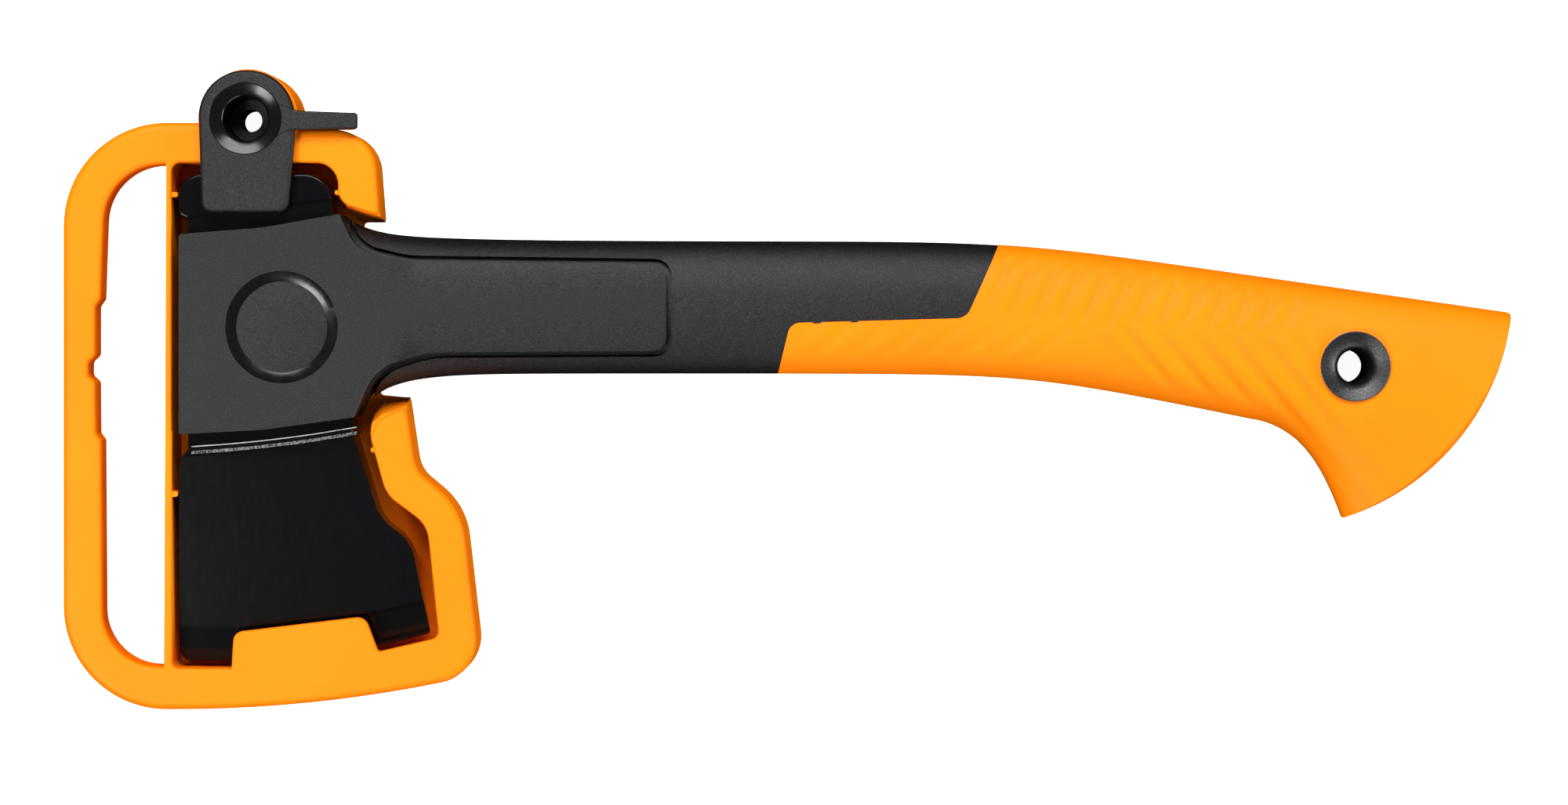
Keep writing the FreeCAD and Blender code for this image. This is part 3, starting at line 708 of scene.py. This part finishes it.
def ridge_height(x, y):
    """Height of the ridges in millimetres, either side of a dividing line."""
    divide = -3.1 - 0.046 * (x - 210.6)
    above = y - divide
    phase, reach = upper_ridges(x, y, above) if above > 0 else lower_ridges(x, y, above)
    return reach * (math.sin(math.tau * phase) + 0.25 * math.sin(2 * math.tau * phase + 0.9))


bm = bmesh.new()
bm.from_mesh(grip.data)
bm.normal_update()
for v in bm.verts:
    facing = smooth(abs(v.normal.z), 0.55, 0.9)
    v.co += v.normal * ridge_height(v.co.x, v.co.y) * facing
bm.to_mesh(grip.data)
bm.free()
print("ridge height on the rear chevron, mm:", round(ridge_height(262.0, -12.0), 3))

# %% [markdown]
# The butt is a wide arc with an edge that is softly crowned and rounded at its rims. A disc is spun
# with that edge, the waste is a slab with the disc taken out of it, and the waste is cut from the grip.
# The two corners of the arc are then pulled onto small arcs of their own.

# %% Soft grip: the arc of the butt
BUTT_CENTRE = (290.4, 5.6)
BUTT_RADIUS = 65.2
BUTT_HALF = 12.9
BUTT_RIM = ((3.1, -12.9), (2.3, -12.6), (1.6, -11.8), (1.3, -10.6), (0.4, -6.0))


def round_corner(piece, centre, radius, sides):
    """Pull what lies beyond a corner's arc back onto it; sides are the outward directions there."""
    for v in piece.data.vertices:
        away = Vector((v.co.x - centre[0], v.co.y - centre[1]))
        if away.length > radius and all(away.dot(Vector(side)) > 0 for side in sides):
            away *= radius / away.length
            v.co.x = centre[0] + away.x
            v.co.y = centre[1] + away.y


lower_edge = [(0, -BUTT_HALF)] + [(BUTT_RADIUS - inset, z) for inset, z in BUTT_RIM]
edge_profile = lower_edge + [(BUTT_RADIUS, 0)] + mirrored(lower_edge)
waste = slab("butt_waste", [(300, 70, 0), (400, 70, 0), (400, -110, 0), (300, -110, 0)])
combine(waste, turned("butt_disc", edge_profile, BUTT_CENTRE, steps=240))
combine(grip, waste)
round_corner(grip, (353.87, -2.36), 1.2, ((0.994, -0.105), (0.143, 0.99)))
round_corner(grip, (310.64, -55.3), 1.0, ((-0.94, -0.34), (0.3, -0.954)))
print("butt tip at x, mm:", round(max(v.co.x for v in grip.data.vertices), 2))

# %% [markdown]
# The front edge is cut last, along the same stepped outline as the core's, and the hanging hole is a
# turned tool that flares at both faces to hold the bush.

# %% Soft grip: cut the front edge and the hanging hole
HANG = (312.2, -15.7)
core_side = [
    (100.0, 40.0, 0), (228.6, 40.0, 0), (209.1, -2.9, 3.8), (162.4, -4.2, 3.2), (153.6, -40.0, 0),
    (100.0, -40.0, 0),
]
hole_flare = [(0, -16), (10.2, -16), (9.35, -13.4), (6.3, -9.0)]
combine(grip, slab("core_side", core_side))
combine(grip, turned("hanging_hole", hole_flare + mirrored(hole_flare), HANG))
complete(grip, "axe_in_guard", "soft_grip", [grip_orange], sharp_degrees=50)

# %% [markdown]
# ## The bush
# A black lining keeps a cord from wearing the soft grip. It is a shallow countersink that rolls over
# into the bore, on both faces alike. It is turned as one closed profile, so the gleam follows its
# curve without a break.

# %% Bush: a countersink that rolls over into the bore
rolled = [
    (9.1, 13.4), (8.0, 13.06), (7.0, 12.7), (6.2, 12.34), (5.5, 11.9), (4.95, 11.3), (4.55, 10.5),
    (4.35, 9.5), (4.3, 8.4),
]
outside = [(9.3, -13.3), (6.3, -9.0), (6.3, 9.0), (9.3, 13.3)]
bush = turned("hanging_hole_bush", outside + rolled + mirrored(rolled), HANG)
complete(bush, "axe_in_guard", "hang_hole_bush", [turned_nylon], sharp_degrees=40)

# %% [markdown]
# ## The head
# The design model already has the head's shape. A merged copy of it gets what coating and handling
# give real steel: every edge is slightly broken with a small bevel, which catches a thin line of light.
# A strip above the blade, and a thin line above it that carries a painted highlight, are laid on a hair
# proud of the cheeks, so that their faces can be told by height: the strip gets its coarse finish, the line
# its painted highlight.

# %% Head: merged copy and broken edges
bm = bmesh.new()
bm.from_mesh(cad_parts["axe_head"].data)
bmesh.ops.transform(bm, matrix=TO_FRAME.inverted(), verts=bm.verts)
bmesh.ops.remove_doubles(bm, verts=bm.verts, dist=0.002)
bmesh.ops.dissolve_limit(bm, angle_limit=math.radians(0.5), verts=bm.verts, edges=bm.edges)
head = as_object("axe_head_forging", bm)
soften(head, 0.3, 28)
print("head with broken edges, faces:", len(head.data.polygons))

# %% Head: blasted strip and painted highlight line
HEAD_HALF = 8.2
STRIP_PROUD = 0.06
HIGHLIGHT_LINE_PROUD = 0.03
HEIGHT_SLACK = 0.015


def cheek_line(name, lower, width, proud):
    """A curved strip across both cheeks, a hair proud of them."""
    corners = [(3.0, lower, 0), (25.0, lower + 1.55, 300.0), (47.0, lower + 5.2, 0)]
    back = [(x, y + width, r) for x, y, r in reversed(corners)]
    combine(head, slab(name, corners + back, -HEAD_HALF - proud, HEAD_HALF + proud), "UNION")


cheek_line("blasted_strip", -39.1, 0.85, STRIP_PROUD)
# The thin line above the strip carries a painted highlight.
cheek_line("painted_highlight_line", -37.25, 0.3, HIGHLIGHT_LINE_PROUD)
# Faces of the strip get the blasted finish; faces of the thin line get the painted highlight.
for face in head.data.polygons:
    proud = abs(face.center.z) - HEAD_HALF
    if proud > STRIP_PROUD - HEIGHT_SLACK:
        face.material_index = 1
    elif proud > HIGHLIGHT_LINE_PROUD - HEIGHT_SLACK:
        face.material_index = 2
complete(head, "axe_in_guard", "axe_head", [head_coating, head_blasted, head_painted_highlight], sharp_degrees=30)

# %% [markdown]
# ## The latch
# A black plate hangs from a hollow hub and covers the poll. A polished dish leads the eye, and a wall
# screw, into the bore. The lever grows out of the dish's rim and turns down into a deep paddle that
# the thumb pushes. Each part is a slab or a turned piece pressed onto the plate, and the dish is
# turned out of them all, so that hub and plate end in one rim.

# %% Latch
LATCH = (17.7, 50.1)
LATCH_PLATE = (9.0, 12.3)
LEVER_PLATE = (9.3, 12.6)
PADDLE_SPAN = (-51.15, -47.85)
latch_corners = [
    (4.9, 62.9, 12.25), (6.1, 25.2, 2.9), (29.0, 25.2, 2.9), (30.7, 44.0, 20.0), (30.5, 62.9, 12.25),
]
lever_corners = [
    (22.0, 55.8, 0), (22.6, 42.6, 0), (28.9, 47.0, 6.0), (47.4, 47.5, 0.5), (47.4, 51.6, 0.8),
    (31.5, 52.15, 8.0),
]
paddle_corners = [(31.8, 12.2, 1.0), (46.9, 12.2, 0.8), (45.8, -6.9, 3.5), (32.6, -6.9, 3.5)]
hub = [(0, -11.2), (8.2, -11.2), (8.2, 10.0), (0, 10.0)]
dish = [
    (0, -20), (5.9, -20), (5.9, 10.4), (6.15, 10.85), (6.6, 11.15), (7.5, 11.52), (8.5, 11.88),
    (9.3, 12.14), (9.6, 12.28), (9.75, 12.5), (10.0, 16), (0, 16),
]


def in_dish(radius, height, slope):
    """The bore and the dish, but not the plate's flat face beside its rim."""
    return radius < 9.72 and slope < 0.995


latch = slab("latch_moulding", latch_corners, *LATCH_PLATE, rim=1.1, rim_steps=5, arc_steps=24)
combine(latch, slab("lever", lever_corners, *LEVER_PLATE, rim=0.6, rim_steps=4), "UNION")
paddle = slab("paddle", paddle_corners, *PADDLE_SPAN, rim=0.7)
paddle.data.transform(Matrix.Rotation(math.radians(90), 4, "X"))
combine(latch, paddle, "UNION")
combine(latch, turned("hub", hub, LATCH), "UNION")
combine(latch, turned("dish", dish, LATCH))
complete(latch, "latch_group", "latch", [textured_nylon, polished_nylon], sharp_degrees=35)
polish(latch, LATCH, in_dish)

# %% [markdown]
# ## Studio
# The axe lies on a light table: a white floor that glows by itself, and a backdrop ball of the same
# paint behind every other view. Both would throw light on the axe from all sides and wash out its
# blacks, so they are hidden from soft and glossy rays, and only the lamps shape it.

# %% Floor and backdrop
STAGE_SIZE = 4.0
TABLE_GLOW = 0.95


def table_paint(name):
    material, tree, shader, place = new_material(name)
    shader.inputs["Base Color"].default_value = colour("#F4F4F4")
    shader.inputs["Roughness"].default_value = 0.9
    shader.inputs["Emission Color"].default_value = (1, 1, 1, 1)
    shader.inputs["Emission Strength"].default_value = TABLE_GLOW
    return material


def stage_surface(name, bm, paint, throws_shadow):
    """A surface that only the camera sees."""
    mesh = bpy.data.meshes.new(name)
    bm.to_mesh(mesh)
    bm.free()
    mesh.materials.append(paint)
    surface = bpy.data.objects.new(name, mesh)
    scene.collection.objects.link(surface)
    surface.visible_shadow = throws_shadow
    surface.visible_diffuse = False
    surface.visible_glossy = False
    print(name, "faces:", len(mesh.polygons))


white = table_paint("light table, matt white")
grid = bmesh.new()
bmesh.ops.create_grid(grid, x_segments=1, y_segments=1, size=STAGE_SIZE)
stage_surface("studio_floor", grid, white, True)
ball = bmesh.new()
bmesh.ops.create_uvsphere(ball, u_segments=64, v_segments=32, radius=STAGE_SIZE)
bmesh.ops.reverse_faces(ball, faces=ball.faces)
stage_surface("studio_backdrop", ball, white, False)

# %% [markdown]
# Black and orange side by side need wide, soft light with a clear direction. The main lamp stands
# above on the poll's side, a small one over the corner of the guard draws the highlight along the
# handle, and two low ones fill the walls that face the blade's edge and the butt.

# %% Lamps
LAMPS = (
    ("poll_side_softbox", (-0.1, 0.9, 1.02), (1.1, 0.5), 23),
    ("corner_softbox", (-0.66, -0.41, 1.03), (0.4, 0.4), 11),
    ("edge_side_softbox", (0.7, -1.5, 0.45), (1.2, 0.6), 10),
    ("butt_side_softbox", (1.3, -0.15, 0.35), (0.8, 0.4), 12),
)


def softbox(name, place, size, watts):
    """A soft lamp that looks at the middle of the object."""
    data = bpy.data.lights.new(name, "AREA")
    data.shape = "RECTANGLE"
    data.size, data.size_y = size
    data.energy = watts
    light = bpy.data.objects.new(name, data)
    scene.collection.objects.link(light)
    light.location = place
    light.rotation_euler = (-Vector(place)).to_track_quat("-Z", "Y").to_euler()


for lamp in LAMPS:
    softbox(*lamp)
print("lamps:", len(LAMPS), "with", sum(lamp[3] for lamp in LAMPS), "W")

# %% [markdown]
# The air glows faintly from above only. Light from below would come up through the floor and lift the
# shaded walls, so a narrow ramp about the horizon takes it away.

# %% Air
AIR_GLOW = 0.16
HORIZON = 0.02
world = bpy.data.worlds.new("studio_air")
scene.world = world
world.use_nodes = True
air = world.node_tree
direction = add(air, "TexCoord").outputs["Generated"]
height = add(air, "SeparateXYZ", None, {0: direction}).outputs["Z"]
glow = add(air, "MapRange", None, {0: height, 1: -HORIZON, 2: HORIZON, 3: 0.0, 4: AIR_GLOW})
background = air.nodes["Background"]
background.inputs["Color"].default_value = (1, 1, 1, 1)
air.links.new(glow.outputs[0], background.inputs["Strength"])
print("air:", world.name)

# %% [markdown]
# The camera hangs straight above the middle of the handle, far off behind a long lens, so that holes
# and walls show only a little of their depth. A small shift of the lens, rather than a tilt, places
# the axe in the frame and keeps upright walls parallel.

# %% Camera
CAMERA_PLACE = (160.7, -7.9, 1200.0)
camera_data = bpy.data.cameras.new("studio_camera")
camera_data.sensor_width = 36
camera_data.lens = 102.8
camera_data.shift_y = -0.0418
camera = bpy.data.objects.new("studio_camera", camera_data)
scene.collection.objects.link(camera)
camera.location = axe_origin + Vector(CAMERA_PLACE) * MM
scene.camera = camera
scene.view_settings.view_transform = "Standard"
print("camera above the table, mm:", round(camera.location.z / MM, 1))
